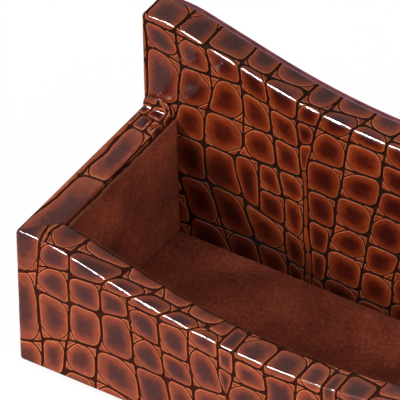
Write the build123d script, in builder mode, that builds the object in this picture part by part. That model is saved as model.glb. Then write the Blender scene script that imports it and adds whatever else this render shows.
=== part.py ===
from build123d import *
from math import cos, radians, sin
import os

# Desk business card holder: an open tray of leather-covered boards, glued to the front
# of a taller leather-covered back panel. Millimetres, +Z up, +Y to the back, and the
# origin at the middle of the underside.

# Outer sizes
width = 108.0
tray_depth = 41.9
wall_height = 30.9
panel_height = 51.9

# The dip in the front wall's top and the back panel's top, from each outer face inward:
# level, rounded shoulder, straight slope, and then one hollow arc across the middle
dip_level = 4.6
dip_shoulder = 5.0
dip_slope = 14.4
dip_angle = 14.0

# Stock
leather = 0.9
wall_board = 4.6
base_board_thick = 1.6
panel_board = 4.9
rear_hide = 1.0
liner_card = 0.4
suede = 0.5
felt = 0.6

# How the stock is laid
hem = 12.0
outer_round = 1.2
inner_round = 0.7
bottom_round = 0.5
liner_below_rim = 0.7
rear_hide_inset = 0.7
rear_hide_below_top = 0.4
felt_inset = 1.5
felt_corner = 3.0

# Places that follow from the sizes
half = width / 2
wall = leather + wall_board + leather
panel = leather + panel_board + leather + rear_hide
depth = tray_depth + panel
front = -depth / 2
panel_front = front + tray_depth
panel_hem = panel_front + leather + panel_board
skin_bottom = felt
board_bottom = felt + leather
floor_board_top = board_bottom + base_board_thick
floor_card_top = floor_board_top + liner_card
floor_top = floor_card_top + suede
liner_outer = half - wall
suede_outer = liner_outer - liner_card
well_half = suede_outer - suede
liner_front = front + wall
suede_front = liner_front + liner_card
well_front = suede_front + suede


def dipped_face(half_width, bottom, top):
    """A board's front elevation, level at its corners and dipped across its middle."""
    level = dip_level - (half - half_width)
    across = cos(radians(dip_angle))
    down = sin(radians(dip_angle))
    hollow_run = half - dip_level - dip_shoulder - dip_slope
    with BuildSketch(Plane.XY) as elevation:
        with BuildLine():
            flat = Line((-half_width, top), (-half_width + level, top))
            shoulder = JernArc(flat @ 1, (1, 0), dip_shoulder / down, -dip_angle)
            slope = PolarLine(shoulder @ 1, dip_slope / across, -dip_angle)
            hollow = JernArc(slope @ 1, slope % 1, hollow_run / down, dip_angle)
            middle = Line(hollow @ 1, (0, bottom))
            foot = Line(middle @ 1, (-half_width, bottom))
            Line(foot @ 1, flat @ 0)
        make_face()
        mirror(about=Plane.YZ)
    return elevation.sketch


def rim_edges(part, place):
    """The long edges of a wall's top at one depth, picked for rounding."""
    level = part.edges().filter_by(lambda edge: abs(edge.center().Y - place) < 0.01)
    return level.filter_by(lambda edge: edge.center().Z > floor_top and abs((edge % 0.5).X) > 0.5)


# Base board, flat under the whole tray; the walls stand on its rim
with BuildPart() as base_board:
    with BuildSketch(Plane.XY.offset(board_bottom)):
        with Locations((0, front + leather)):
            Rectangle(width - 2 * leather, tray_depth - leather, align=(Align.CENTER, Align.MIN))
    extrude(amount=base_board_thick)
base_board.part.label = "base_board"

# Front wall board, with the dip cut in its top
with BuildPart() as front_board:
    with BuildSketch(Plane.XZ.offset(-front - leather)):
        add(dipped_face(half - leather, floor_board_top, wall_height - leather))
    extrude(amount=-wall_board)
front_board.part.label = "front_board"

# Side wall boards, between the front board and the back panel
side_boards = {}
side_board_length = tray_depth - leather - wall_board
for side, sign in (("left", -1), ("right", 1)):
    with BuildPart() as side_board:
        with BuildSketch(Plane.XY.offset(floor_board_top)):
            with Locations((sign * (half - leather - wall_board / 2), panel_front)):
                Rectangle(wall_board, side_board_length, align=(Align.CENTER, Align.MAX))
        extrude(amount=wall_height - leather - floor_board_top)
    side_board.part.label = side + "_board"
    side_boards[side] = side_board.part

# Back panel board, one piece from the underside to the dipped top
with BuildPart() as back_board:
    with BuildSketch(Plane.XZ.offset(-panel_front - leather)):
        add(dipped_face(half - leather, board_bottom, panel_height - leather))
    extrude(amount=-panel_board)
back_board.part.label = "back_board"

# Mitre lines of the leather at the tray's two front corners, at 45 degrees in plan
left_mitre = Plane(origin=(-half, front, 0), x_dir=(0, 0, 1), z_dir=(1, -1, 0))
right_mitre = Plane(origin=(half, front, 0), x_dir=(0, 0, 1), z_dir=(-1, -1, 0))

# Front leather: over the outer face, the dipped rim and the inner face, and turned under
with BuildPart() as front_leather:
    with BuildSketch(Plane.XZ.offset(-front)):
        add(dipped_face(half, skin_bottom, wall_height))
    extrude(amount=-wall)
    fillet(rim_edges(front_leather, front), outer_round)
    fillet(rim_edges(front_leather, front + wall), inner_round)
    with BuildSketch(Plane.XY.offset(skin_bottom)):
        with Locations((0, front)):
            Rectangle(width, hem, align=(Align.CENTER, Align.MIN))
    extrude(amount=leather)
    with BuildSketch(Plane.XZ.offset(-front - leather)):
        add(dipped_face(half - leather, floor_board_top, wall_height - leather))
    extrude(amount=-wall_board, mode=Mode.SUBTRACT)
    with BuildSketch(Plane.XY.offset(board_bottom)):
        with Locations((0, front + leather)):
            Rectangle(width - 2 * leather, hem, align=(Align.CENTER, Align.MIN))
    extrude(amount=base_board_thick, mode=Mode.SUBTRACT)
    underside = front_leather.edges().filter_by(Axis.X).group_by(Axis.Z)[0].sort_by(Axis.Y)[0]
    fillet(underside, bottom_round)
    split(bisect_by=left_mitre, keep=Keep.TOP)
    split(bisect_by=right_mitre, keep=Keep.TOP)
front_leather.part.label = "front_leather"

# Side leathers: the same wrap along each side wall, from the mitre to the back panel
side_leathers = {}
for side, sign, mitre in (("left", -1, left_mitre), ("right", 1, right_mitre)):
    with BuildPart() as side_leather:
        with BuildSketch(Plane.XZ.offset(-front)) as section:
            with Locations((sign * (half - wall / 2), skin_bottom)):
                Rectangle(wall, wall_height - skin_bottom, align=(Align.CENTER, Align.MIN))
            with Locations((sign * (half - hem / 2), skin_bottom)):
                Rectangle(hem, leather, align=(Align.CENTER, Align.MIN))
            corners = section.vertices().group_by(Axis.Y)
            outermost = Axis.X if sign < 0 else -Axis.X
            top_outer, top_inner = corners[-1].sort_by(outermost)
            foot_outer = corners[0].sort_by(outermost)[0]
            fillet(top_outer, outer_round)
            fillet(top_inner, inner_round)
            fillet(foot_outer, bottom_round)
            with Locations((sign * (half - leather - wall_board / 2), floor_board_top)):
                Rectangle(
                    wall_board,
                    wall_height - leather - floor_board_top,
                    align=(Align.CENTER, Align.MIN),
                    mode=Mode.SUBTRACT,
                )
            with Locations((sign * (half - leather - hem / 2), board_bottom)):
                Rectangle(hem, base_board_thick, align=(Align.CENTER, Align.MIN), mode=Mode.SUBTRACT)
        extrude(amount=-tray_depth)
        split(bisect_by=mitre, keep=Keep.BOTTOM)
    side_leather.part.label = side + "_leather"
    side_leathers[side] = side_leather.part

# Card that levels the underside between the three turned-under hems
with BuildPart() as base_infill_card:
    with BuildSketch(Plane.XY.offset(skin_bottom)):
        with Locations((0, front + hem)):
            Rectangle(width - 2 * hem, tray_depth - hem, align=(Align.CENTER, Align.MIN))
    extrude(amount=leather)
base_infill_card.part.label = "base_infill_card"

# Back panel leather: over the front face, the dipped top, both ends and the foot, and
# turned in behind the board as a hem all round
with BuildPart() as back_leather:
    with BuildSketch(Plane.XZ.offset(-panel_front)):
        add(dipped_face(half, skin_bottom, panel_height))
    extrude(amount=panel_hem + leather - panel_front, dir=(0, 1, 0))
    fillet(rim_edges(back_leather, panel_front), outer_round)
    fillet(rim_edges(back_leather, panel_hem + leather), inner_round)
    with BuildSketch(Plane.XZ.offset(-panel_front - leather)):
        add(dipped_face(half - leather, board_bottom, panel_height - leather))
    extrude(amount=-panel_board, mode=Mode.SUBTRACT)
    with BuildSketch(Plane.XZ.offset(-panel_hem)):
        add(dipped_face(half, skin_bottom + hem, panel_height - hem))
        with Locations((0, skin_bottom)):
            Rectangle(
                width - 2 * hem,
                panel_height,
                align=(Align.CENTER, Align.MIN),
                mode=Mode.INTERSECT,
            )
    extrude(amount=-leather, mode=Mode.SUBTRACT)
back_leather.part.label = "back_leather"

# Card that levels the back of the panel inside that hem
with BuildPart() as back_infill_card:
    with BuildSketch(Plane.XZ.offset(-panel_hem)):
        add(dipped_face(half, skin_bottom + hem, panel_height - hem))
        with Locations((0, skin_bottom)):
            Rectangle(
                width - 2 * hem,
                panel_height,
                align=(Align.CENTER, Align.MIN),
                mode=Mode.INTERSECT,
            )
    extrude(amount=-leather)
back_infill_card.part.label = "back_infill_card"

# Rear leather: a flat sheet glued over the back, whose cut edge shows along the top
with BuildPart() as rear_leather:
    with BuildSketch(Plane.XZ.offset(-panel_hem - leather)):
        add(
            dipped_face(
                half - rear_hide_inset,
                skin_bottom + rear_hide_below_top,
                panel_height - rear_hide_below_top,
            )
        )
    extrude(amount=-rear_hide)
rear_leather.part.label = "rear_leather"

# Floor liner: suede on a thin card, laid first
with BuildPart() as floor_card:
    with BuildSketch(Plane.XY.offset(floor_board_top)):
        with Locations((0, liner_front)):
            Rectangle(2 * liner_outer, panel_front - liner_front, align=(Align.CENTER, Align.MIN))
    extrude(amount=liner_card)
floor_card.part.label = "floor_card"

with BuildPart() as floor_suede:
    with BuildSketch(Plane.XY.offset(floor_card_top)):
        with Locations((0, liner_front)):
            Rectangle(2 * liner_outer, panel_front - liner_front, align=(Align.CENTER, Align.MIN))
    extrude(amount=suede)
floor_suede.part.label = "floor_suede"

# Side liners, standing on the floor liner and running to the back panel
side_liners = {}
liner_height = wall_height - liner_below_rim - floor_top
for side, sign in (("left", -1), ("right", 1)):
    for layer, outer, thick in (("card", liner_outer, liner_card), ("suede", suede_outer, suede)):
        with BuildPart() as side_liner:
            with BuildSketch(Plane.XY.offset(floor_top)):
                with Locations((sign * (outer - thick / 2), liner_front)):
                    Rectangle(thick, panel_front - liner_front, align=(Align.CENTER, Align.MIN))
            extrude(amount=liner_height)
        side_liner.part.label = side + "_" + layer
        side_liners[side_liner.part.label] = side_liner.part

# Front liner, between the side liners and dipped like the wall behind it
front_liners = {}
for layer, near, thick in (("card", liner_front, liner_card), ("suede", suede_front, suede)):
    with BuildPart() as front_liner:
        with BuildSketch(Plane.XZ.offset(-near)):
            add(dipped_face(half, floor_top, wall_height - liner_below_rim))
            with Locations((0, floor_top)):
                Rectangle(
                    2 * well_half,
                    wall_height,
                    align=(Align.CENTER, Align.MIN),
                    mode=Mode.INTERSECT,
                )
        extrude(amount=-thick)
    front_liner.part.label = "front_" + layer
    front_liners[front_liner.part.label] = front_liner.part

# Felt under the tray and the panel, which the holder rests on
with BuildPart() as base_felt:
    with BuildSketch():
        RectangleRounded(width - 2 * felt_inset, depth - 2 * felt_inset, felt_corner)
    extrude(amount=felt)
base_felt.part.label = "base_felt"

pieces = [
    base_board.part,
    front_board.part,
    *side_boards.values(),
    back_board.part,
    front_leather.part,
    *side_leathers.values(),
    base_infill_card.part,
    back_leather.part,
    back_infill_card.part,
    rear_leather.part,
    floor_card.part,
    floor_suede.part,
    *side_liners.values(),
    *front_liners.values(),
    base_felt.part,
]
os.makedirs("parts", exist_ok=True)
for piece in pieces:
    export_step(piece, "parts/" + piece.label + ".step")
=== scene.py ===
import math
import random

import bmesh
import bpy
from mathutils import Matrix, Vector, noise


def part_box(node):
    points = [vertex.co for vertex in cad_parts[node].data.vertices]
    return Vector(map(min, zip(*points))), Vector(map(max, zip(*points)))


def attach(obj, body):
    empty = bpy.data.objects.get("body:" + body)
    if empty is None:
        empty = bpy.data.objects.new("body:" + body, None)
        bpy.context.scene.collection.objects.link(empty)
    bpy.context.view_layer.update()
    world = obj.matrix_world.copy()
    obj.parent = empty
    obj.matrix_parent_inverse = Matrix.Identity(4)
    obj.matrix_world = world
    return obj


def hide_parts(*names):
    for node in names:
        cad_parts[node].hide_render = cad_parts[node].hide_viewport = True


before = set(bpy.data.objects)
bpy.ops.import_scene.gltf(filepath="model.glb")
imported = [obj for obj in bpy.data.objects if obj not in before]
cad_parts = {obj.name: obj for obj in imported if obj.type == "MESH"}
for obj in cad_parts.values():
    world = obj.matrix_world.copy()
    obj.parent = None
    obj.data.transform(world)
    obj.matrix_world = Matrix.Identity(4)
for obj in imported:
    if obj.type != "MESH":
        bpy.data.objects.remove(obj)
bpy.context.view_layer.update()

# Greyboard and lining card: cut from dense recycled board, glued up and then hidden by
# the leather and the suede. Only the card's raw top edge can be seen, inside the rim.
MM = 0.001


def linear(colour):
    """A hex colour as it is seen, in the linear values that a material takes."""
    parts = [int(colour[i : i + 2], 16) / 255 for i in (1, 3, 5)]
    return [c / 12.92 if c <= 0.04045 else ((c + 0.055) / 1.055) ** 2.4 for c in parts] + [1]


def add(tree, kind, links=None, **settings):
    """Adds one node, with its settings, its fixed values and what is linked to it."""
    node = tree.nodes.new(kind)
    for name, value in settings.items():
        setattr(node, name, value)
    for socket, value in (links or {}).items():
        if isinstance(value, bpy.types.NodeSocket):
            tree.links.new(value, node.inputs[socket])
        else:
            node.inputs[socket].default_value = value
    return node


def new_material(name):
    """An empty material and its node tree."""
    material = bpy.data.materials.new(name)
    material.use_nodes = True
    material.node_tree.nodes.clear()
    return material, material.node_tree


def finish_material(tree, shader):
    add(tree, "ShaderNodeOutputMaterial", {"Surface": shader.outputs[0]})


def paint_ramp(tree, factor, stops):
    """A colour ramp whose stops are (place, hex colour)."""
    ramp = add(tree, "ShaderNodeValToRGB", {"Fac": factor})
    while len(ramp.color_ramp.elements) < len(stops):
        ramp.color_ramp.elements.new(0.5)
    for element, (place, colour) in zip(ramp.color_ramp.elements, stops):
        element.position = place
        element.color = linear(colour)
    return ramp.outputs["Color"]


def grained_material(name, per_mm, detail, spread, dark, light, finish, relief=None):
    """A material whose colour follows one fine grain, of so many grains to a millimetre.

    The colours stand spread below and above the grain's middle. finish holds the shader's
    own values, and relief is (strength, depth in millimetres).
    """
    material, tree = new_material(name)
    grain = {"Vector": add(tree, "ShaderNodeTexCoord").outputs["Object"]}
    grain.update({"Scale": per_mm / MM, "Detail": detail})
    grain = add(tree, "ShaderNodeTexNoise", grain).outputs["Fac"]
    colour = paint_ramp(tree, grain, [(0.5 - spread, dark), (0.5 + spread, light)])
    sockets = {"Base Color": colour, **finish}
    if relief:
        bump = {"Height": grain, "Strength": relief[0], "Distance": relief[1] * MM}
        sockets["Normal"] = add(tree, "ShaderNodeBump", bump).outputs["Normal"]
    finish_material(tree, add(tree, "ShaderNodeBsdfPrincipled", sockets))
    return material


def pulp_board(name, dark, light):
    """Pressed paper pulp: matt, with fibres and flecks about a millimetre long."""
    matt = {"Roughness": 0.9, "Specular IOR Level": 0.0}
    return grained_material(name, 0.9, 6.0, 0.2, dark, light, matt, (0.3, 0.1))


def give_material(obj, material):
    """Makes a material the only one of a piece."""
    obj.data.materials.clear()
    obj.data.materials.append(material)


greyboard = pulp_board("greyboard", "#6F6A63", "#98928A")
lining_card = pulp_board("lining_card", "#2A1812", "#3C241A")
for name in ("base_board", "front_board", "left_board", "right_board", "back_board"):
    give_material(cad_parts[name], greyboard)
for name in ("floor_card", "front_card", "left_card", "right_card"):
    give_material(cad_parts[name], lining_card)
for name in ("base_infill_card", "back_infill_card"):
    give_material(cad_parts[name], lining_card)

# Croc-embossed calf, all the outer leather: a heated plate presses rows of raised scales
# into the hide, dark dye stays in the creases and in the middle of each scale, and the
# rims are rubbed back to orange before the skin is glazed to a high gloss.

# The net of scales, the creases between them and the dyed islets in their cut corners,
# in millimetres. Where a scale is narrow or very long, its form is simpler.
scale_wide = 6.4
scale_tall = 7.9
crease = 0.42
crease_depth = 0.17
islet_gap = 0.12
islet_tip = 0.12
islet_corner = 0.15
smallest_islet = 0.8
slimmest = 0.6
slim_below = 2.4
sliver_ratio = 3.5
smallest_leaning = 3.4
shortest_side = 0.35
largest_corner = {"tight": 1.5, "cut": 3.0}
outline_step = 1.8
long_scale = 12
notch_step = 0.85
notch_depth = 0.18

# How scales rise out of the creases: flanks in steps of (width, rise, tone), and tops in
# rings of (share of the size kept, rise, tone). The tone takes the dye's colours later.
whole_flank = [(0.08, 0.09, 0.22), (0.09, 0.06, 0.42), (0.13, 0.02, 0.54)]
whole_top = [(0.84, 0.015, 0.63), (0.78, 0.02, 0.74), (0.6, 0.01, 0.88)]
slim_flank = [(0.05, 0.08, 0.22), (0.06, 0.05, 0.42)]
slim_top = [(0.8, 0.02, 0.56), (0.6, 0.02, 0.7)]
sliver_flank = [(0.04, 0.08, 0.22), (0.04, 0.05, 0.5)]
islet_top = [(0.88, 0.09, 0.3), (0.82, 0.04, 0.42), (0.6, 0.01, 0.55)]
middle_tone = 0.07

# The hide itself, in millimetres: its flesh side's strips, and how it bends over an edge
flesh_step = 1.5
unevenness = 0.02
hide_thick = 0.55
bend = 0.7

# Blender's noise is otherwise seeded from the clock, and each run would differ
noise.seed_set(4)


def crease_line(points):
    """A function that gives a crease's x at any height, from the (x, y) points it passes."""

    def x_at(y):
        if y <= points[0][1]:
            return points[0][0]
        for (x0, y0), (x1, y1) in zip(points, points[1:]):
            if y <= y1:
                return x0 + (x1 - x0) * (y - y0) / (y1 - y0)
        return points[-1][0]

    return x_at


def carry_on(rng, net, low, high):
    """Carries the cross creases of a listed net's columns down to low and up to high."""
    carried = []
    for points, rows in net:
        rows = list(rows)
        while rows and max(rows[0]) > low:
            step = scale_tall * rng.uniform(0.85, 1.15)
            rows.insert(0, (rows[0][0] - step, rows[0][1] - step))
        while rows and min(rows[-1]) < high:
            step = scale_tall * rng.uniform(0.85, 1.15)
            rows.append((rows[-1][0] + step, rows[-1][1] + step))
        carried.append((points, rows))
    return carried


def grown_net(rng, left, right, low, high, zones=None, top=None, first=None):
    """Columns of scales that fill left to right, in the form that croc_hide takes.

    Rows run on from column to column within a zone, which is (where it starts, how tall
    its scales are), and break at its edge. The last row ends at top, where it is given,
    and the first column starts at the crease first.
    """
    zones = zones or [(left, scale_tall)]
    start = crease_line(first) if first else None
    net = []
    x = left
    zone = None
    bent = 1.0
    while x < right:
        now = [z for z in zones if z[0] <= x + scale_wide / 2] or zones[:1]
        tall = now[-1][1]
        if now[-1] is not zone:
            zone = now[-1]
            count = math.ceil((high - low) / tall) + 2
            base = high - count * tall + (0 if top is not None else rng.uniform(0.3, 1.0) * tall)
            even = [base + k * tall for k in range(count + 2)]
            even = [y for y in even if top is None or y < top - 0.4 * tall]
            near = [y + rng.uniform(-0.08, 0.08) * tall for y in even]
        far = [0.6 * y + 0.4 * e + rng.uniform(-0.1, 0.1) * tall for e, y in zip(even, near)]
        points = [(x + rng.uniform(-0.5, 0.5), low + (high - low) * k / 5) for k in range(6)]
        if start:
            points = [(px + bent * (start(py) - first[0][0]), py) for px, py in points]
            bent *= 0.8
        rows = list(zip(near, far))
        if top is not None:
            rows.append((top, top))
        net.append((first if first and not net else points, rows))
        near = far
        x += scale_wide * rng.uniform(0.86, 1.14)
    net.append(([(x, low)], []))
    return net


def scale_outline(place, wide, tall, rng):
    """The outline of one scale, and the islets in its cut corners with their middles.

    place(across, up) is a point of the scale's place in the net, from 0 to 1 each way.
    Each corner is rounded on its own: tightly, cut across, or over its whole quarter. Most
    scales lean, so they are cut at the upper right and lower left. The sides of very long
    scales are finely notched.
    """
    gap = min(crease / 2, 0.05 * min(wide, tall)) * rng.uniform(0.75, 1.3)
    centre = (rng.uniform(0.4, 0.6) * wide, rng.uniform(0.4, 0.6) * tall)
    outline = []
    islets = []
    for right, up in ((1, 1), (-1, 1), (-1, -1), (1, -1)):
        reach = [wide - centre[0] if right > 0 else centre[0], tall - centre[1] if up > 0 else centre[1]]
        reach = [side - gap for side in reach]
        leans = right * up > 0
        forms = ("cut", "cut", "round", "round", "tight")
        form = rng.choice(forms if leans else ("tight", "tight", "tight", "cut"))
        if min(wide, tall) < smallest_leaning:
            form = "tight"
        share = {"tight": 0.42, "cut": 0.78, "round": 1.0}[form]
        power = {"tight": 1.9, "cut": rng.uniform(1.25, 1.6), "round": rng.uniform(2.1, 2.6)}[form]
        size = [share * side * rng.uniform(0.8, 1.1) for side in reach]
        if form != "round":
            size = [min(part, largest_corner[form]) for part in size]
        whole = form == "round"
        size = [side if whole or side - part < shortest_side else part for side, part in zip(reach, size)]

        def placed(x, y):
            return place((centre[0] + right * x) / wide, (centre[1] + up * y) / tall)

        def curve(angle, grow=0):
            x = reach[0] - size[0] + (size[0] + grow) * abs(math.cos(angle)) ** (2 / power)
            return x, reach[1] - size[1] + (size[1] + grow) * abs(math.sin(angle)) ** (2 / power)

        count = {"tight": 4, "cut": 5, "round": 8}[form]
        quarter = [curve(k / count * math.pi / 2) for k in range(count + 1)]
        notched = max(wide, tall) > long_scale
        notch, deep = (notch_step, notch_depth) if notched else (outline_step, 0)
        if quarter[0][1] > 0.01:
            steps = max(1, int(quarter[0][1] / notch))
            side = [(reach[0] - rng.uniform(0, deep), quarter[0][1] * k / steps) for k in range(1, steps)]
            quarter = [(reach[0], 0)] + side + quarter
        if quarter[-1][0] > 0.01:
            steps = max(1, int(quarter[-1][0] / notch))
            top = quarter[-1][0]
            side = [(top * (1 - k / steps), reach[1] - rng.uniform(0, deep)) for k in range(1, steps)]
            quarter += side + [(0, reach[1])]
        outline += [placed(*point) for point in (quarter if leans else quarter[::-1])[:-1]]

        # The corner outside the curve is an islet, where it is large enough to hold dye
        if min(size) < 2 * islet_tip:
            continue
        lowest = math.acos(((size[0] - islet_tip) / (size[0] + islet_gap)) ** (power / 2))
        highest = math.asin(((size[1] - islet_tip) / (size[1] + islet_gap)) ** (power / 2))
        if highest <= lowest:
            continue
        near, far = curve(highest, islet_gap), curve(lowest, islet_gap)
        if min(reach[0] - near[0], reach[1] - far[1]) < smallest_islet:
            continue
        ring = [curve(highest + (lowest - highest) * k / 4, islet_gap) for k in range(5)]
        inward = ring[2]
        ring += [(reach[0], far[1]), (reach[0], reach[1] - islet_corner)]
        ring += [(reach[0] - islet_corner, reach[1]), (near[0], reach[1])]
        ring = [placed(*point) for point in ring]
        middle = placed((inward[0] + reach[0]) / 2, (inward[1] + reach[1]) / 2)
        islets.append((ring if leans else ring[::-1], middle))
    return outline, islets


def raise_scales(bm, scales, tone, flank, rings=(), rounder=2):
    """Raises the faces of scales, each with its middle, up a flank and then in rings.

    Each ring is rounder than the one outside it. With no rings the scales stay flat.
    """
    faces = list(scales)
    for width, rise, value in flank:
        bmesh.ops.inset_individual(bm, faces=faces, thickness=width, depth=rise)
        for face in faces:
            for vert in face.verts:
                vert[tone] = value
    for share, rise, value in rings:
        bmesh.ops.inset_individual(bm, faces=faces, thickness=0, depth=0)
        for face in faces:
            points = [vert.co for vert in face.verts]
            for _ in range(rounder):
                around = zip(points[-1:] + points, points, points[1:] + points[:1])
                points = [(a + 2 * b + c) / 4 for a, b, c in around]
            middle = Vector((*scales[face].xy, points[0].z))
            for vert, point in zip(face.verts, points):
                vert.co = middle + (point - middle) * share + Vector((0, 0, rise))
                vert[tone] = value
    if not rings:
        bmesh.ops.triangulate(bm, faces=faces)
        return
    top = rings[-1][2] + middle_tone
    middles = {face.verts[0]: scales[face] for face in faces}
    for vert in bmesh.ops.poke(bm, faces=faces)["verts"]:
        around = [edge.other_vert(vert) for edge in vert.link_edges]
        middle = next(middles[corner] for corner in around if corner in middles)
        vert.co = Vector((*middle.xy, around[0].co.z))
        vert[tone] = top


def croc_hide(low, high, nets, seed):
    """A flat piece of embossed hide that covers low to high, in millimetres.

    Each net is a list of columns: the points of the crease at its left, and its cross
    creases. Every point of the hide carries its tone, from 0 in a crease to 1 in the
    middle of a scale, and its scale's own shade.
    """
    rng = random.Random(seed)
    bm = bmesh.new()
    tone = bm.verts.layers.float.new("tone")
    shade_of = bm.verts.layers.float.new("shade")
    flesh = bm.verts.layers.float.new("flesh")
    edges = []
    whole, slim, sliver, small = {}, {}, {}, {}
    for net in nets:
        for (left_points, rows), (right_points, _) in zip(net, net[1:]):
            left, right = crease_line(left_points), crease_line(right_points)
            for lower, upper in zip(rows, rows[1:]):

                def place(across, up):
                    y0 = lower[0] + (upper[0] - lower[0]) * up
                    y1 = lower[1] + (upper[1] - lower[1]) * up
                    x0, x1 = left(y0), right(y1)
                    point = Vector((x0 + (x1 - x0) * across, y0 + (y1 - y0) * across, -crease_depth))

                    # Creases waver by 0.5 mm over about 6 mm, and by 0.1 mm over 1.5 mm
                    broad = noise.noise_vector(point / 6 + Vector((seed, 0, 0)))
                    fine = noise.noise_vector(point / 1.5 + Vector((0, seed, 0)))
                    return point + (0.5 * broad + 0.1 * fine) * Vector((1, 1, 0))

                wide = (place(1, 0.5) - place(0, 0.5)).length
                tall = (place(0.5, 1) - place(0.5, 0)).length
                if min(wide, tall) < slimmest:
                    continue
                outline, islets = scale_outline(place, wide, tall, rng)
                shade = rng.random()
                middle = place(0.5, 0.5)
                reach = max(wide, tall)
                if not low[0] - reach < middle.x < high[0] + reach:
                    continue
                if not low[1] - reach < middle.y < high[1] + reach:
                    continue
                group = slim if min(wide, tall) < slim_below else whole
                if group is slim and reach > sliver_ratio * min(wide, tall):
                    group = sliver
                raised = [(group, outline, sum(outline, Vector()) / len(outline))]
                raised += [(small, *islet) for islet in islets]
                for group, ring, middle in raised:
                    verts = [bm.verts.new(point) for point in ring]
                    for vert in verts:
                        vert[shade_of] = shade
                    face = bm.faces.new(verts)
                    group[face] = middle
                    edges += face.edges[:]
    margin = 3 * max(scale_wide, scale_tall)
    sides = (low[0] - margin, low[1] - margin, high[0] + margin, high[1] + margin)
    corners = ((sides[0], sides[1]), (sides[2], sides[1]), (sides[2], sides[3]), (sides[0], sides[3]))
    border = [bm.verts.new((x, y, -crease_depth)) for x, y in corners]
    edges += [bm.edges.new((border[k - 1], border[k])) for k in range(4)]
    bmesh.ops.triangle_fill(bm, edges=edges, use_beauty=True, normal=(0, 0, 1))
    raise_scales(bm, whole, tone, whole_flank, whole_top)
    raise_scales(bm, slim, tone, slim_flank, slim_top, 1)
    raise_scales(bm, sliver, tone, sliver_flank)
    raise_scales(bm, small, tone, [], islet_top, 0)
    flat = bm.loops.layers.uv.new("flat")
    for vert in bm.verts:
        vert.co.z += unevenness * noise.noise(vert.co / 1.5 + Vector((0, 0, seed)))
    for face in bm.faces:
        for loop in face.loops:
            loop[flat].uv = loop.vert.co.xy * MM
    cut(bm, (low[0], 0), (-1, 0), drop=True)
    cut(bm, (high[0], 0), (1, 0), drop=True)
    cut(bm, (0, low[1]), (0, -1), drop=True)
    cut(bm, (0, high[1]), (0, 1), drop=True)

    # The smooth flesh side is a plain sheet, cut and folded along with the grain side
    columns = math.ceil((high[0] - low[0]) / flesh_step)
    sides = []
    for k in range(columns + 1):
        x = low[0] + (high[0] - low[0]) * k / columns
        sides.append([bm.verts.new((x, y, 0)) for y in (low[1], high[1])])
        for vert in sides[-1]:
            vert[flesh] = 1
    for left, right in zip(sides, sides[1:]):
        bm.faces.new((left[0], left[1], right[1], right[0]))
    return bm


def cut(bm, place, direction, drop=False, within=None):
    """Cuts the flat hide along a line, all of it or the faces whose middle is within."""
    geom = bm.verts[:] + bm.edges[:] + bm.faces[:]
    if within:
        faces = [face for face in bm.faces if within(*face.calc_center_median().xy)]
        geom = list({item for face in faces for item in face.verts[:] + face.edges[:]}) + faces
    bmesh.ops.bisect_plane(
        bm,
        geom=geom,
        dist=1e-4,
        plane_co=(*place, 0),
        plane_no=(*direction, 0),
        clear_outer=drop,
    )


def cut_off(bm, beyond):
    """Drops the faces of the flat hide whose middle is beyond its outline."""
    faces = [face for face in bm.faces if beyond(*face.calc_center_median().xy)]
    bmesh.ops.delete(bm, geom=faces, context="FACES")


def crease_for_fold(bm, axis, place, sides=(-1, 1)):
    """Cuts the hide at a fold and in steps beside it, so that it can bend there."""
    direction = (1, 0) if axis == "x" else (0, 1)
    for angle in (0, 11.25, 22.5, 33.75):
        for side in sides:
            at = place + side * bend * (1 - math.tan(math.radians(angle)))
            cut(bm, (at, 0) if axis == "x" else (0, at), direction)
    cut(bm, (place, 0) if axis == "x" else (0, place), direction)


def close_rim(bm, radius=0):
    """Joins the cut edges of the flat hide's grain and flesh sides, all the way round.

    Where a radius is given, the flesh side's edge is rounded with it.
    """
    flesh = bm.verts.layers.float["flesh"]
    rings = []
    for side in (False, True):
        after = {}
        for edge in bm.edges:
            if edge.is_boundary and (edge.verts[0][flesh] > 0) == side:
                loop = edge.link_loops[0]
                start, end = loop.vert, loop.link_loop_next.vert
                after[end if side else start] = start if side else end
        ring = [min(after, key=lambda vert: vert.co.x + vert.co.y)]
        while len(ring) == 1 or ring[-1] is not ring[0]:
            ring.append(after[ring[-1]])
        rings.append(ring)
    grain, under = rings
    if radius:
        under = round_rim(bm, under, radius)
    places = []
    for ring in (grain, under):
        along = [0]
        for start, end in zip(ring, ring[1:]):
            along.append(along[-1] + (end.co.xy - start.co.xy).length)
        places.append([place / along[-1] for place in along] + [math.inf])
    i = j = 0
    while i + 1 < len(grain) or j + 1 < len(under):
        ahead = places[0][i + 1] - places[1][j + 1]
        corners = [grain[i], under[j]]
        if ahead < 1e-5:
            bm.edges.get((grain[i], grain[i + 1])).smooth = False
            i += 1
            corners.insert(0, grain[i])
        if ahead > -1e-5:
            j += 1
            corners.append(under[j])
        bm.faces.new(corners)


def round_rim(bm, ring, radius):
    """Draws a ring of the flesh side's edge in, and follows it with the round's points."""
    flesh = bm.verts.layers.float["flesh"]
    points = [vert.co.copy() for vert in ring[:-1]]
    inwards = []
    for before, point, after in zip(points[-1:] + points, points, points[1:] + points[:1]):
        inward = Vector((0, 0, 1)).cross((point - before).normalized() + (after - point).normalized())
        inwards.append(inward.normalized())
    last = ring[:-1]
    for vert, point, inward in zip(last, points, inwards):
        vert.co = point + inward * radius
    for angle in (22.5, 45, 67.5, 90):
        drawn = radius * (1 - math.sin(math.radians(angle)))
        height = Vector((0, 0, radius * (1 - math.cos(math.radians(angle)))))
        new = [bm.verts.new(point + inward * drawn + height) for point, inward in zip(points, inwards)]
        for k, vert in enumerate(new):
            vert[flesh] = 1
            bm.faces.new((new[k - 1], last[k - 1], last[k], vert))
        last = new
    return last + last[:1]


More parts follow.
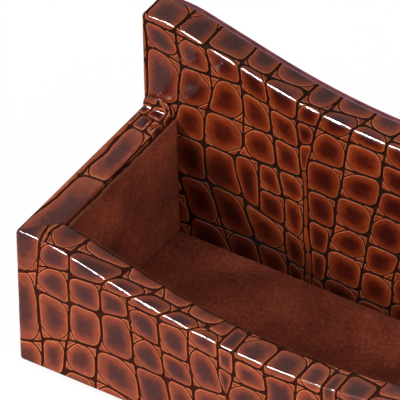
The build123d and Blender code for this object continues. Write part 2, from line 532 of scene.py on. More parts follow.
def lay_over(bm, sharp, inner):
    """Lays the flat hide over its board.

    sharp(x, y) gives the point of the square-cornered shape, and inner(point) the nearest
    point of that shape shrunk by the bend's radius, so edges come out round.
    """
    flesh = bm.verts.layers.float["flesh"]
    for vert in bm.verts:
        point = Vector(sharp(vert.co.x, vert.co.y))
        core = Vector(inner(point))

        # Over an edge the hide is stretched, so its relief is flatter there. A point is
        # bend from the core on a face, and bend * sqrt(2) from it on an edge
        turned = ((point - core).length / bend - 1) / 0.4
        height = bend - hide_thick if vert[flesh] else bend + vert.co.z * (1 - 0.95 * min(turned, 1))
        vert.co = core + (point - core).normalized() * height


def flat_size(bm, grain):
    """The width, length and area of the flat hide, in metres, from its own pattern."""
    flat = bm.loops.layers.uv["flat"]
    area = 0
    for face in grain:
        points = [loop[flat].uv for loop in face.loops]
        area += sum(a.cross(b) for a, b in zip(points, points[1:] + points[:1])) / 2
    points = [loop[flat].uv for face in grain for loop in face.loops]
    width = max(p.x for p in points) - min(p.x for p in points)
    length = max(p.y for p in points) - min(p.y for p in points)
    return (width, length), abs(area)


def make_object(name, bm):
    """Makes a finished bmesh, in metres, an object of the scene that stands at the origin."""
    mesh = bpy.data.meshes.new(name)
    bm.to_mesh(mesh)
    bm.free()
    obj = bpy.data.objects.new(name, mesh)
    bpy.context.scene.collection.objects.link(obj)
    return obj


def finish_hide(bm, name, node, grain_side=None, cut_edge=None):
    """Makes the closed hide an object that stands for its plain solid."""
    flesh = bm.verts.layers.float["flesh"]
    grain = [face for face in bm.faces if not any(vert[flesh] for vert in face.verts)]
    flat, area = flat_size(bm, grain)
    for face in bm.faces:
        face.smooth = True
        face.material_index = int(any(vert[flesh] for vert in face.verts))
    bmesh.ops.triangulate(bm, faces=[face for face in bm.faces if len(face.verts) > 4])
    for vert in bm.verts:
        vert.co *= MM
    obj = make_object(name, bm)
    for material in (grain_side or croc_calf, cut_edge or stained_edge):
        obj.data.materials.append(material)
    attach(obj, "root")
    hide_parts(node)


def croc_material(name, colours):
    """Glazed two-tone calf: dark creases, orange rims, and scales dark in the middle.

    The dye clouds over a millimetre or so, and the pores are a little under half of that.
    """
    material, tree = new_material(name)
    tone = add(tree, "ShaderNodeAttribute", attribute_name="tone").outputs["Fac"]
    shade = add(tree, "ShaderNodeAttribute", attribute_name="shade").outputs["Fac"]
    flat = add(tree, "ShaderNodeUVMap", uv_map="flat").outputs["UV"]
    cloud = {"Vector": flat, "Scale": 0.7 / MM, "Detail": 6.0, "Roughness": 0.65}
    cloud = add(tree, "ShaderNodeTexNoise", cloud).outputs["Fac"]
    mottle = add(tree, "ShaderNodeMath", {0: cloud, 1: 0.5}, operation="SUBTRACT").outputs[0]
    mottle = add(tree, "ShaderNodeMath", {0: mottle, 1: tone}, operation="MULTIPLY").outputs[0]
    dark = add(tree, "ShaderNodeMath", {0: mottle, 1: 0.55, 2: tone}, operation="MULTIPLY_ADD").outputs[0]
    uneven = add(tree, "ShaderNodeMath", {0: shade, 1: 0.2, 2: -0.1}, operation="MULTIPLY_ADD").outputs[0]
    uneven = add(tree, "ShaderNodeMath", {0: uneven, 1: tone, 2: dark}, operation="MULTIPLY_ADD").outputs[0]
    colour = paint_ramp(tree, uneven, list(zip(tone_places, colours)))
    pores = add(tree, "ShaderNodeTexVoronoi", {"Vector": flat, "Scale": 2.6 / MM}).outputs["Distance"]
    pitted = {"Height": pores, "Strength": 0.15, "Distance": 0.06 * MM}
    pitted = add(tree, "ShaderNodeBump", pitted).outputs["Normal"]
    bump = {"Height": cloud, "Strength": 0.3, "Distance": 0.1 * MM, "Normal": pitted}
    bump = add(tree, "ShaderNodeBump", bump).outputs["Normal"]
    rough = {"Value": tone, "To Min": 0.65, "To Max": 0.38}
    rough = add(tree, "ShaderNodeMapRange", rough).outputs["Result"]
    # The glazing tool slides over the raised scales and doesn't reach into the creases
    reached = {"Value": tone, "From Min": 0.38, "From Max": 0.58, "To Max": 0.45}
    glaze = add(tree, "ShaderNodeMapRange", reached).outputs["Result"]
    shader = add(
        tree,
        "ShaderNodeBsdfPrincipled",
        {
            "Base Color": colour,
            "Roughness": rough,
            "Specular IOR Level": 0.02,
            "Coat Weight": glaze,
            "Coat Roughness": 0.11,
            "Normal": bump,
        },
    )
    finish_material(tree, shader)
    return material


tone_places = (0.0, 0.22, 0.36, 0.43, 0.53, 0.64, 0.8, 0.95)
croc_calf = croc_material(
    "glazed_croc_calf",
    ("#34120A", "#40180E", "#BE6C44", "#AE5933", "#883A1C", "#732B14", "#4E170C", "#3A100A"),
)

# The panel's hide is the same calf in darker colours: painted shade, for the panel that stands deep in the
# tray
shaded_croc_calf = croc_material(
    "painted_shade_glazed_croc_calf",
    ("#240D06", "#2E1209", "#B05E36", "#A04D28", "#7C3216", "#69250F", "#481409", "#340D08"),
)

# The cut edge of the leather, stained dark so that the raw fibre doesn't show
stained_edge = grained_material(
    "stained_leather_edge", 2.5, 4.0, 0.2, "#1E0E12", "#40202A", {"Roughness": 0.45}
)

# Front leather: one piece over the front wall's outer face, its dipped rim and down
# inside, turned under at the foot, and mitred to the side leathers at both corners.
# The net of creases is listed where it is seen, from the left corner, and grown on.
def node_box(name):
    """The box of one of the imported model's solids, in millimetres."""
    low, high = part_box(name)
    return [value / MM for value in low], [value / MM for value in high]


tray_low, tray_high = node_box("front_leather")
board_low, board_high = node_box("front_board")
half = tray_high[0]
front = tray_low[1]
foot = tray_low[2]
wall_top = tray_high[2]
wall = board_high[1] + board_low[1] - 2 * front
hidden = 4.0
turned_under = 3.0

# The dip in the front wall's top and in the panel's: level at the corners, then a
# rounded shoulder, a straight slope, and one hollow across the middle
dip_level = 4.6
dip_shoulder = 5.0
dip_slope = 14.4
dip_angle = math.radians(14)


def dip(x):
    """How far a top edge has dropped at x below its level corners."""
    inward = half - abs(x) - dip_level
    if inward <= 0:
        return 0.0
    tangent = math.tan(dip_angle)
    drop = min(inward, dip_shoulder) ** 2 * tangent / (2 * dip_shoulder)
    drop += min(max(inward - dip_shoulder, 0), dip_slope) * tangent
    hollow = half - dip_level - dip_shoulder - dip_slope
    along = max(inward - dip_shoulder - dip_slope, 0)
    return drop + tangent * (along - along * along / (2 * hollow))


def from_left(net):
    """Moves a listed net whose x is measured from the holder's left end."""
    return [([(x - half, y) for x, y in points], rows) for points, rows in net]


corner_crease = [(5.3, 8), (4.3, 18), (5.0, 26), (5.4, 31), (4.7, 35), (5.0, 40)]
second_crease = [(9.9, 2), (10.2, 8), (11.4, 12), (11.5, 31), (12.6, 40)]
corner_net = [
    ([(-1.5, 0)], [(-9, -9), (-2.5, -1.0), (4.6, 7.0), (21.0, 23.4), (44, 44)]),
    (corner_crease, []),
]
corner_face_net = [
    (corner_crease, [(-8, -8), (0, 1.2), (7.7, 9.6), (18.9, 18.3), (24.4, 26.0), (31.2, 31.0)]),
    (second_crease, []),
]
corner_rim_net = [
    (corner_crease, [(31.2, 31.17), (44, 44)]),
    ([(6.3, 31), (5.7, 35), (5.9, 40)], [(31.17, 31.0), (44, 44)]),
    (second_crease, []),
]
front_net = [
    (
        second_crease,
        [(2.7, 2.4), (10.2, 10.7), (19.2, 19.2), (25.5, 25.9), (32.0, 32.0)],
    ),
    (
        [(16.6, 2), (17.0, 10), (18.1, 16), (18.0, 24), (20.6, 30), (21.5, 40)],
        [(2.7, 1.8), (10.4, 10.7), (19.6, 20.2), (25.2, 25.2), (30.0, 29.6)],
    ),
    (
        [(26.1, 2), (25.2, 10), (24.2, 20), (23.9, 25), (27.4, 30), (28.2, 40)],
        [(2.2, 2.0), (10.6, 10.3), (17.7, 17.1), (24.0, 23.8), (29.0, 28.0)],
    ),
    (
        [(32.8, 3), (31.4, 11), (30.4, 18), (30.0, 24), (33.6, 29), (36.0, 38)],
        [(2.2, 2.4), (10.2, 10.4), (16.4, 16.1), (23.6, 23.8), (27.6, 27.0)],
    ),
    (
        [(37.8, 8), (36.9, 15), (36.4, 24), (40.6, 29), (42.5, 38)],
        [(3.0, 3.2), (11.3, 11.8), (20.4, 19.9), (26.4, 25.6), (34.4, 33.4)],
    ),
    (
        [(44.6, 11), (43.0, 15), (43.1, 40)],
        [(5.0, 4.8), (12.2, 12.6), (18.6, 17.6), (23.0, 22.8), (29.8, 29.4)],
    ),
    ([(44.6, 12), (46.3, 18), (46.2, 40)], [(9.2, 9.0), (16.3, 16.4), (21.8, 21.6), (29.0, 28.8)]),
    (
        [(52.0, 10), (53.2, 17), (52.4, 22), (53.5, 40)],
        [(7.0, 6.6), (13.6, 13.8), (21.3, 21.1), (28.8, 29.0)],
    ),
    ([(59.2, 10), (59.4, 22), (59.8, 40)], [(6.6, 7.4), (14.4, 14.0), (21.6, 21.0), (29.3, 28.6)]),
    ([(65.2, 10), (64.6, 22), (65.4, 40)], [(5.4, 5.2), (12.2, 12.4), (19.8, 20.4), (28.0, 28.6)]),
    ([(68.0, 10), (67.4, 22), (68.6, 40)], [(7.4, 7.0), (14.8, 15.2), (22.4, 22.0), (29.6, 29.2)]),
    ([(74.6, 10), (74.4, 22), (75.0, 40)], []),
]


def clamp(value, low, high):
    return min(max(value, low), high)


def front_leather():
    rng = random.Random(11)
    low, high = (-half, foot - turned_under), (half, wall_top + wall + hidden)
    net = from_left(carry_on(rng, front_net, low[1], high[1]))
    first = net[-1][0]
    zones = [(0, 7.0), (32, 7.8)]
    grown = grown_net(rng, first[0][0], half + scale_wide, low[1], high[1], zones=zones, first=first)
    corner = [from_left(part) for part in (corner_net, corner_face_net, corner_rim_net)]
    hide = croc_hide(low, high, [*corner, net, grown], 11)
    crease_for_fold(hide, "y", foot)
    crease_for_fold(hide, "x", -half, (1,))
    crease_for_fold(hide, "x", half, (-1,))
    for vert in hide.verts:
        vert.co.y -= wall_top - dip(vert.co.x)
    cut(hide, (0, wall + hidden), (0, 1), drop=True)
    crease_for_fold(hide, "y", 0)
    crease_for_fold(hide, "y", wall)
    for side in (-1, 1):
        cut(hide, (side * half, 0), (side, 1), within=lambda x, y: y > 0)
        cut(hide, (side * (half - wall), 0), (1, 0), within=lambda x, y: y > 0)
    cut_off(hide, lambda x, y: half - abs(x) < min(y, wall))

    def sharp(x, y):
        top = wall_top - dip(x)
        if top + y < foot:
            return x, front + foot - top - y, foot
        if y < 0:
            return x, front, top + y
        if y < wall:
            return x, front + y, top
        return x, front + wall, top - y + wall

    def inner(point):
        return (
            clamp(point.x, -half + bend, half - bend),
            clamp(point.y, front + bend, front + wall - bend),
            clamp(point.z, foot + bend, wall_top - dip(point.x) - bend),
        )

    close_rim(hide)
    lay_over(hide, sharp, inner)
    finish_hide(hide, "front_leather_skin", "front_leather")


front_leather()

# Side leathers: one piece over each side wall, its level rim and down inside. The grain
# runs along the wall: long scales lie on the rim, with a narrow strip outside them.
# The rim's end is pressed up against the panel, where it wrinkles.
panel_low, panel_high = node_box("back_leather")
panel_front = panel_low[1]
face_below_rim = 0.5

# The tongue is the rim's end: its length past the panel's face, and how it turns up
tongue = 2.2
tongue_bend = 0.5
tongue_thick = 0.45
wrinkle = 0.3
tongue_clear = 0.05


def from_front(net, level):
    """Moves a listed net measured along a wall from its front and up from a level."""
    moved = []
    for points, rows in net:
        points = [(x + front, y + level) for x, y in points]
        moved.append((points, [(a + level, b + level) for a, b in rows]))
    return moved


rim_net = [
    ([(-9, 0)], [(-0.75, 1.42), (8.4, 8.2), (12, 12)]),
    ([(19.2, 0), (20.0, 8)], [(1.55, 1.5), (6.7, 6.9), (12, 12)]),
    ([(35.8, 0), (35.0, 8)], [(1.5, 1.6), (4.6, 4.2), (9, 9)]),
    ([(39.4, 0), (38.8, 8)], [(-0.4, -0.4), (2.1, 2.5), (5.6, 5.2), (9, 9)]),
    ([(42.0, 0), (42.4, 8)], [(-0.4, -0.4), (3.6, 3.2), (9, 9)]),
    ([(50.0, 0)], []),
]
outer_strip = [
    ([(3.5, 0)], [(-0.4, -0.4), (0.15, 1.4)]),
    ([(19.3, 0)], [(-0.4, -0.4), (1.45, 1.45)]),
    ([(35.8, 0)], [(-0.4, -0.4), (1.45, 1.55)]),
    ([(39.4, 0)], []),
]


def ease(value, low, high):
    """0 below low, 1 above high, and smooth between."""
    t = clamp((value - low) / (high - low), 0, 1)
    return t * t * (3 - 2 * t)


def side_leather(name, sign, seed):
    rng = random.Random(seed)
    low = (front, foot - turned_under)
    high = (panel_front + tongue, wall_top + wall + hidden)
    rim_line = wall_top - face_below_rim
    face_net = grown_net(rng, low[0] - 3, high[0] + 3, low[1], rim_line, top=rim_line)
    nets = [face_net] + [from_front(net, wall_top) for net in (rim_net, outer_strip)]
    hide = croc_hide(low, high, nets, seed)
    crease_for_fold(hide, "y", foot)
    for vert in hide.verts:
        vert.co.y -= wall_top
    crease_for_fold(hide, "y", 0)
    crease_for_fold(hide, "y", wall)
    crease_for_fold(hide, "x", front, (1,))
    for step in range(6):
        cut(hide, (panel_front - tongue_bend + step * tongue_bend * math.pi / 10, 0), (1, 0))
    cut(hide, (panel_front, 0), (1, 0), within=lambda x, y: not 0 < y < wall)
    cut(hide, (front, 0), (-1, 1), within=lambda x, y: y > 0)
    cut(hide, (front + wall, 0), (1, 0), within=lambda x, y: y > wall)
    cut_off(hide, lambda x, y: x - front < min(y, wall) or (x > panel_front and not 0 < y < wall))

    def sharp(x, y):
        if wall_top + y < foot:
            return half - (foot - wall_top - y), x, foot
        if y < 0:
            return half, x, wall_top + y
        if y < wall:
            return half - y, x, wall_top
        return half - wall, x, wall_top - y + wall

    def inner(point):
        return (
            clamp(point.x, half - wall + bend, half - bend),
            max(point.y, front + bend),
            clamp(point.z, foot + bend, wall_top - bend),
        )

    # The rim's end turns up against the panel in wrinkles
    turn = panel_front - tongue_thick - tongue_bend
    flesh = hide.verts.layers.float["flesh"]
    close_rim(hide)
    turned = {}
    for vert in hide.verts:
        along = vert.co.x - turn
        if along > 0 and 0 < vert.co.y < wall:
            turned[vert] = (along, vert.co.y, -hide_thick if vert[flesh] else vert.co.z)
    lay_over(hide, sharp, inner)
    for vert, (along, across, height) in turned.items():
        angle = min(along / tongue_bend, math.pi / 2)
        straight = max(along - tongue_bend * math.pi / 2, 0)
        rise = tongue_bend * (1 - math.cos(angle)) + straight
        rise *= ease(min(across, wall - across), -0.3, 1.2)
        place = Vector((along / 0.8, across / 1.6, seed))
        height += wrinkle * noise.noise(place) * ease(along, 0, 1)
        back = tongue_bend * math.sin(angle) - height * math.sin(angle)
        vert.co.y = min(turn + back, panel_front - tongue_clear)
        vert.co.z += rise + height * (math.cos(angle) - 1)
    if sign < 0:
        for vert in hide.verts:
            vert.co = Vector((-vert.co.x, vert.co.y, vert.co.z))
        bmesh.ops.reverse_faces(hide, faces=hide.faces[:])
    finish_hide(hide, name + "_skin", name)


side_leather("left_leather", -1, 21)
side_leather("right_leather", 1, 22)

# Back panel leather: over the panel's front, its dipped top, both ends and its foot, and
# turned in behind the board. Its net is listed where it is seen, and grown on.
panel_back = panel_high[1]
panel_top = panel_high[2]
back_turned_in = 3.0
split_left = [(25.0, 4), (23.6, 9), (21.2, 17.2), (19.4, 24), (19.6, 27), (21.4, 29.5)]
split_left += [(21.5, 38), (20.7, 60)]
split_right = [(30.9, 4), (30.2, 9), (30.0, 20), (29.0, 27), (28.1, 34), (27.3, 41)]
split_right += [(26.3, 48), (25.9, 60)]
back_left_net = [
    (
        [(0.9, 4), (1.2, 40), (0.7, 49), (0.6, 60)],
        [(13.0, 13.0), (22.0, 24.0), (31.4, 34.2), (44.9, 43.8), (50.5, 50.2), (58.5, 58.5)],
    ),
    (
        [(9.8, 4), (9.4, 9), (7.2, 18), (6.0, 27), (7.6, 34), (8.1, 44), (7.5, 51), (7.5, 60)],
        [
            (1.0, 1.0), (8.6, 9.2), (18.0, 18.3), (27.2, 26.8), (34.6, 35.1), (43.7, 43.8),
            (50.2, 49.5), (58.4, 58.2),
        ],
    ),
    (
        [
            (18.6, 4), (17.0, 9), (14.0, 18), (12.9, 26), (13.4, 35), (15.0, 41), (14.7, 46),
            (13.2, 50), (13.8, 60),
        ],
        [
            (1.2, 1.4), (9.2, 9.0), (18.3, 18.0), (27.0, 27.0), (35.2, 35.7), (43.9, 44.4),
            (50.3, 50.0), (58.0, 57.6),
        ],
    ),
    (split_left, []),
]
upper_split_net = [
    (split_left, [(27.7, 28.4), (35.5, 35.3), (43.5, 42.2), (49.9, 49.2), (57.4, 57.0), (65, 65)]),
    (split_right, []),
]
middle_split_net = [
    (split_left, [(17.6, 16.6), (27.6, 27.9)]),
    ([(24.9, 16), (25.0, 22), (24.6, 28)], [(16.5, 15.2), (21.9, 21.6), (27.9, 28.3)]),
    (split_right, []),
]
lower_split_net = [
    (split_left, [(-15, -15), (-7, -7), (1.2, 1.2), (9.0, 8.6), (17.5, 15.1)]),
    (split_right, []),
]
back_right_net = [
    (
        split_right,
        [
            (0.6, 0.8), (7.2, 6.6), (14.9, 13.2), (22.3, 21.5), (28.1, 28.4), (35.2, 35.1),
            (41.8, 41.2), (49.6, 49.4), (56.8, 56.4),
        ],
    ),
    (
        [(34.6, 4), (34.2, 28), (33.4, 34), (32.8, 41), (33.4, 48), (34.0, 60)],
        [
            (0.8, 0.8), (5.6, 5.6), (11.0, 11.0), (17.2, 17.2), (24.0, 24.0), (30.2, 30.4),
            (36.0, 37.0), (41.4, 41.0), (46.0, 46.6), (54.4, 54.6),
        ],
    ),
    (
        [(36.0, 4), (35.0, 26), (35.2, 33), (37.4, 41), (38.9, 47), (39.6, 60)],
        [
            (6.0, 5.6), (12.4, 12.0), (19.2, 18.8), (26.4, 25.9), (33.7, 33.6), (41.3, 40.5),
            (47.4, 47.8), (54.8, 54.6),
        ],
    ),
    (
        [(38.6, 4), (39.2, 12), (41.0, 22), (42.9, 34), (44.3, 41), (46.0, 48), (46.4, 60)],
        [
            (0.4, 0.6), (7.2, 7.0), (13.9, 14.2), (20.8, 20.6), (27.9, 27.6), (34.2, 34.8),
            (41.2, 41.2), (46.6, 46.2), (54.0, 53.8),
        ],
    ),
    (
        [(45.6, 4), (46.5, 13), (48.6, 22), (50.4, 31), (51.2, 40), (52.4, 48), (53.0, 60)],
        [
            (5.6, 5.4), (12.6, 12.4), (19.4, 19.0), (26.4, 26.8), (33.0, 33.6), (39.6, 39.4),
            (45.6, 45.2), (53.2, 53.0),
        ],
    ),
    ([(52.4, 4), (53.4, 13), (55.4, 22), (57.2, 31), (57.8, 40), (59.0, 48), (59.6, 60)], []),
]


def back_leather():
    rng = random.Random(31)
    deep = panel_back - panel_front
    over = deep + back_turned_in
    low = (-half - over, foot - over)
    high = (half + over, panel_top + over)
    nets = []
    for net in (back_left_net, back_right_net):
        nets.append(from_left(carry_on(rng, net, low[1], high[1])))
    last, first = nets[0][0][0], nets[1][-1][0]
    nets += [from_left(net) for net in (upper_split_net, middle_split_net, lower_split_net)]
    zones = [(0, 6.6), (26, 7.9), (44, 7.2)]
    grown = grown_net(rng, first[0][0], high[0] + scale_wide, low[1], high[1], zones=zones, first=first)
    ends = grown_net(rng, low[0] - scale_wide, last[0][0] - 4, low[1], high[1])
    ends[-1] = (last, [])
    hide = croc_hide(low, high, [ends, *nets, grown], 31)
    for place in (-half - deep, -half, half, half + deep):
        crease_for_fold(hide, "x", place, (1, -1))
    crease_for_fold(hide, "y", foot)
    crease_for_fold(hide, "y", foot - deep)
    for vert in hide.verts:
        vert.co.y -= panel_top - dip(vert.co.x)
    cut(hide, (0, over), (0, 1), drop=True)
    crease_for_fold(hide, "y", 0)
    crease_for_fold(hide, "y", deep)
    cut_off(hide, lambda x, y: abs(x) > half and (y > 0 or y + panel_top < foot))

    def sharp(x, y):
        top = panel_top - dip(x)
        height = top + y
        beyond = abs(x) - half
        if beyond > deep:
            return math.copysign(half - (beyond - deep), x), panel_back, height
        if beyond > 0:
            return math.copysign(half, x), panel_front + beyond, height
        if y > deep:
            return x, panel_back, top - (y - deep)
        if y > 0:
            return x, panel_front + y, top
        if height < foot - deep:
            return x, panel_back, foot + (foot - deep - height)
        if height < foot:
            return x, panel_front + foot - height, foot
        return x, panel_front, height

    def inner(point):
        return (
            clamp(point.x, -half + bend, half - bend),
            clamp(point.y, panel_front + bend, panel_back - bend),
            clamp(point.z, foot + bend, panel_top - dip(point.x) - bend),
        )

    close_rim(hide)
    lay_over(hide, sharp, inner)
    # The panel takes the darker copy of the calf, which is painted shade
    finish_hide(hide, "back_leather_skin", "back_leather", grain_side=shaded_croc_calf)


back_leather()

# Rear leather: a flat sheet of the same hide, cut to the panel's outline and glued over
# its back. Its cut edges are painted, and show as a thin dark line along the top.
rear_low, rear_high = node_box("rear_leather")
rear_edge_round = 0.3
satin_paint = {"Roughness": 0.5, "Specular IOR Level": 0.05}
# The edge paint's plum is made paler, partly its own colour and partly a painted sheen along the top
edge_paint_and_sheen = grained_material("satin_edge_paint_and_sheen", 0.4, 3.0, 0.15, "#6A2C36", "#8C4650", satin_paint)


def rear_leather():
    rng = random.Random(41)
    low = (rear_low[0], rear_low[2])
    high = (rear_high[0], rear_high[2])
    zones = [(-60, 7.9), (-20, 6.8), (14, 7.6), (38, 8.4)]
    net = grown_net(rng, low[0] - scale_wide, high[0] + scale_wide, low[1], high[1] + 2, zones=zones)
    hide = croc_hide(low, high, [net], 41)
    for vert in hide.verts:
        vert.co.y -= rear_high[2] - dip(vert.co.x)
    cut(hide, (0, 0), (0, 1), drop=True)
    flesh = hide.verts.layers.float["flesh"]
    close_rim(hide, rear_edge_round)
    for vert in hide.verts:
        height = vert.co.y + rear_high[2] - dip(vert.co.x)
        relief = vert.co.z * ease(-vert.co.y, 0.2, 1.6)
        deep = rear_low[1] + vert.co.z if vert[flesh] else rear_high[1] + relief
        vert.co = Vector((-vert.co.x, deep, height))
    finish_hide(
        hide,
        "rear_leather_skin",
        "rear_leather",
        cut_edge=edge_paint_and_sheen,
    )


rear_leather()

# Suede liners: thin split leather with a brushed nap, mounted on card and stood inside
# the walls. Their cut top edges are paler and frayed, just below the leather rims.
def suede_material(name, dark, middle, light, rubbed):
    """Brushed split leather: matt and velvety, in soft patches where the nap lies over."""
    material, tree = new_material(name)
    place = add(tree, "ShaderNodeTexCoord").outputs["Object"]
    edge = add(tree, "ShaderNodeAttribute", attribute_name="edge").outputs["Fac"]
    patches = {"Vector": place, "Scale": 0.09 / MM, "Detail": 4.0, "Roughness": 0.6}
    patches = add(tree, "ShaderNodeTexNoise", patches).outputs["Fac"]
    nap = {"Vector": place, "Scale": 1.5 / MM, "Detail": 5.0, "Roughness": 0.7}
    nap = add(tree, "ShaderNodeTexNoise", nap).outputs["Fac"]
    blend = add(tree, "ShaderNodeMath", {0: nap, 1: 0.5}, operation="MULTIPLY").outputs[0]
    blend = {0: patches, 1: 0.5, 2: blend}
    blend = add(tree, "ShaderNodeMath", blend, operation="MULTIPLY_ADD").outputs[0]
    colour = paint_ramp(tree, blend, [(0.36, dark), (0.5, middle), (0.64, light)])
    worn = add(tree, "ShaderNodeMath", {0: edge, 1: nap}, operation="MULTIPLY").outputs[0]
    worn = {"Factor": worn, 6: colour, 7: linear(rubbed)}
    colour = add(tree, "ShaderNodeMix", worn, data_type="RGBA").outputs[2]
    bump = add(tree, "ShaderNodeBump", {"Height": nap, "Strength": 0.7, "Distance": 0.2 * MM})
    shader = add(
        tree,
        "ShaderNodeBsdfPrincipled",
        {
            "Base Color": colour,
            "Roughness": 1.0,
            "Specular IOR Level": 0.0,
            "Sheen Weight": 0.03,
            "Sheen Roughness": 0.5,
            "Sheen Tint": linear("#C79A84"),
            "Normal": bump.outputs["Normal"],
        },
    )
    finish_material(tree, shader)
    return material


suede = suede_material("brushed_suede", "#50261E", "#783828", "#9C5038", rubbed="#744432")

# In millimetres: the mesh's step, how far the nap swells, how far the cut edge is frayed
# below and above its line, and how far down it is worn paler
suede_step = 0.6
swell_depth = 0.07
frayed = (-0.16, 0.06)
worn_edge = 0.9


def suede_liner(name, facing, seed, dipped=False):
    """A liner that fills its solid's box; facing is the way its napped side looks."""
    low, high = node_box(name)
    size = [b - a for a, b in zip(low, high)]
    thin = size.index(min(size))
    across = [axis for axis in (0, 1, 2) if axis != thin]
    bm = bmesh.new()
    edge = bm.verts.layers.float.new("edge")
    steps = [max(2, round(size[axis] / suede_step)) for axis in across]
    bmesh.ops.create_grid(bm, x_segments=steps[0], y_segments=steps[1], size=0.5)
    rng = random.Random(seed)
    for vert in bm.verts:
        shares = (vert.co.x + 0.5, vert.co.y + 0.5)
        point = [0, 0, 0]
        for axis, share in zip(across, shares):
            point[axis] = low[axis] + share * size[axis]
        point[thin] = high[thin] if facing > 0 else low[thin]
        if thin != 2:
            if dipped:
                point[2] -= dip(point[0]) * shares[1]
            if shares[1] > 0.99:
                point[2] += rng.uniform(*frayed)
            vert[edge] = ease(shares[1] * size[2], size[2] - worn_edge, size[2])
        swell = noise.noise(Vector(point) / 5 + Vector((seed, 0, 0)))
        swell += 0.6 * noise.noise(Vector(point) / 1.3)
        vert.co = Vector(point)
        vert.co[thin] += facing * swell_depth * swell
    normal = Vector((0, 0, 0))
    normal[thin] = facing
    bm.normal_update()
    face = next(iter(bm.faces))
    if face.normal.dot(normal) < 0:
        bmesh.ops.reverse_faces(bm, faces=bm.faces[:])
    area = sum(face.calc_area() for face in bm.faces) * MM * MM
    for vert in bm.verts:
        vert.co *= MM
    for face in bm.faces:
        face.smooth = True
    obj = make_object(name + "_nap", bm)
    skin = obj.modifiers.new("thickness", "SOLIDIFY")
    skin.thickness = size[thin] * MM
    skin.offset = -1
    give_material(obj, suede)
    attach(obj, "root")
    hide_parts(name)
    flat = (size[across[0]] * MM, size[across[1]] * MM)
    area = min(area, flat[0] * flat[1])


suede_liner("floor_suede", 1, 51)
suede_liner("left_suede", 1, 52)
suede_liner("right_suede", -1, 53)
suede_liner("front_suede", 1, 54, dipped=True)

# Felt under the holder: pressed wool, cut to a rounded rectangle and glued over the
# turned-in leather, so that the holder doesn't slide or scratch. It is matt and fuzzy.
woolly = {"Roughness": 1.0, "Specular IOR Level": 0.05, "Sheen Weight": 0.3}
felt = grained_material("pressed_wool_felt", 1.1, 6.0, 0.15, "#2A1D17", "#46332A", woolly, (0.8, 0.3))
give_material(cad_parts["base_felt"], felt)

# The camera stands where the photograph was taken from: two metres off with a long lens,
# a little rolled. Its angles and its place were fitted to the holder's edges.
camera_azimuth = math.radians(33.8805)
camera_elevation = math.radians(39.8889)
camera_roll = math.radians(-1.3374)
camera_distance = 2000.0
pixels_per_mm = 5.5875
aim_mm = Vector((-24, -4.8, 25))
aim_pixel = (217.0163, 251.199)
frame_pixels = 400
sensor_mm = 36
backward = Vector(
    (
        math.sin(camera_azimuth) * math.cos(camera_elevation),
        -math.cos(camera_azimuth) * math.cos(camera_elevation),
        math.sin(camera_elevation),
    )
)
level_right = Vector((math.cos(camera_azimuth), math.sin(camera_azimuth), 0))
level_up = backward.cross(level_right)
right = math.cos(camera_roll) * level_right + math.sin(camera_roll) * level_up
upward = backward.cross(right)
across = (aim_pixel[0] - frame_pixels / 2) / pixels_per_mm
down = (aim_pixel[1] - frame_pixels / 2) / pixels_per_mm
place = aim_mm + camera_distance * backward - across * right + down * upward
camera = bpy.data.objects.new("camera", bpy.data.cameras.new("camera"))
bpy.context.scene.collection.objects.link(camera)
camera.data.lens = pixels_per_mm * camera_distance * sensor_mm / frame_pixels
camera.data.sensor_width = sensor_mm
camera.data.clip_end = 20
turned = Matrix((right, upward, backward)).transposed().to_4x4()
camera.matrix_world = Matrix.Translation(place * MM) @ turned
bpy.context.scene.camera = camera

# The studio: a floor of pale paper that keeps the holder's shadow, and white all round.
# Soft light comes from three sides, and one bright strip draws the highlights on the
# rims. The floor lies a hair below the felt, so that the two faces don't mix.
def seen_or_mirrored(tree):
    """1 for what the camera sees, straight or in a mirror or glass, and 0 for light."""
    rays = add(tree, "ShaderNodeLightPath").outputs
    seen = {0: rays["Is Camera Ray"], 1: rays["Is Glossy Ray"]}
    seen = add(tree, "ShaderNodeMath", seen, operation="MAXIMUM").outputs[0]
    seen = {0: seen, 1: rays["Is Transmission Ray"]}
    return add(tree, "ShaderNodeMath", seen, operation="MAXIMUM").outputs[0]


floor_below_felt = 0.0001
floor_bm = bmesh.new()
lowered = Matrix.Translation((0, 0, -floor_below_felt))
bmesh.ops.create_grid(floor_bm, x_segments=2, y_segments=2, size=6, matrix=lowered)
studio_floor = make_object("studio_floor", floor_bm)
paper, paper_tree = new_material("white_paper_floor")
paper_diffuse = add(paper_tree, "ShaderNodeBsdfDiffuse", {"Color": linear("#F6F5F4")})
paper_white = add(paper_tree, "ShaderNodeEmission", {"Color": linear("#FFFFFF"), "Strength": 1.07})

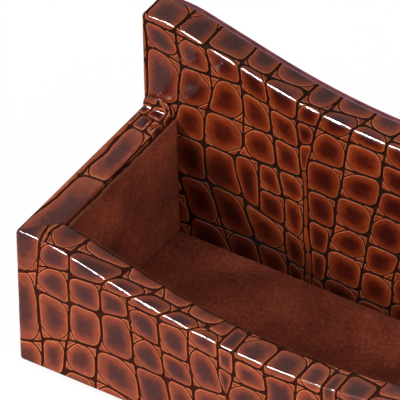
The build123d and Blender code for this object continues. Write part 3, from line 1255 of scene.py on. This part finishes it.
# The eye sees the floor as three parts plain white, and the rest of it keeps the shadow
paper_seen = {0: seen_or_mirrored(paper_tree), 1: 0.75}
paper_seen = add(paper_tree, "ShaderNodeMath", paper_seen, operation="MULTIPLY").outputs[0]
paper_mix = {0: paper_seen, 1: paper_diffuse.outputs[0], 2: paper_white.outputs[0]}
finish_material(paper_tree, add(paper_tree, "ShaderNodeMixShader", paper_mix))
give_material(studio_floor, paper)


def softbox(name, azimuth, elevation, distance, wide, tall, watts):
    """A soft area light that faces the holder.

    Its azimuth is in degrees from the front to the right, and its distance and its two
    sizes are in metres.
    """
    light = bpy.data.lights.new(name, "AREA")
    light.shape = "RECTANGLE"
    light.size = wide
    light.size_y = tall
    light.energy = watts
    a, e = math.radians(azimuth), math.radians(elevation)
    direction = Vector((math.sin(a) * math.cos(e), -math.cos(a) * math.cos(e), math.sin(e)))
    obj = bpy.data.objects.new(name, light)
    facing = direction.to_track_quat("Z", "Y").to_matrix().to_4x4()
    obj.matrix_world = Matrix.Translation(direction * distance) @ facing
    bpy.context.scene.collection.objects.link(obj)
    return obj


# The softboxes light the leather, but only the strip shows in its glaze
soft = [
    softbox("key_softbox", -29, 24, 1.2, 0.28, 0.22, 12),
    softbox("left_softbox", -75, 30, 1.4, 0.6, 0.6, 3),
    softbox("right_fill", 72, 24, 1.6, 1.2, 1.0, 9),
]
for light in soft:
    light.visible_glossy = False
strip = softbox("strip_for_highlights", -24.7, 52, 1.2, 0.58, 0.1, 160)
strip.visible_diffuse = False

world = bpy.data.worlds.new("white_surround")
bpy.context.scene.world = world
world.use_nodes = True
sky = world.node_tree
sky.nodes.clear()
plain = add(sky, "ShaderNodeBackground", {"Color": linear("#FFFFFF"), "Strength": 0.4})
white = add(sky, "ShaderNodeBackground", {"Color": linear("#FFFFFF"), "Strength": 1.0})
sky_mix = {0: seen_or_mirrored(sky), 1: plain.outputs[0], 2: white.outputs[0]}
sky_mix = add(sky, "ShaderNodeMixShader", sky_mix)
add(sky, "ShaderNodeOutputWorld", {"Surface": sky_mix.outputs[0]})
bpy.context.scene.view_settings.view_transform = "Standard"
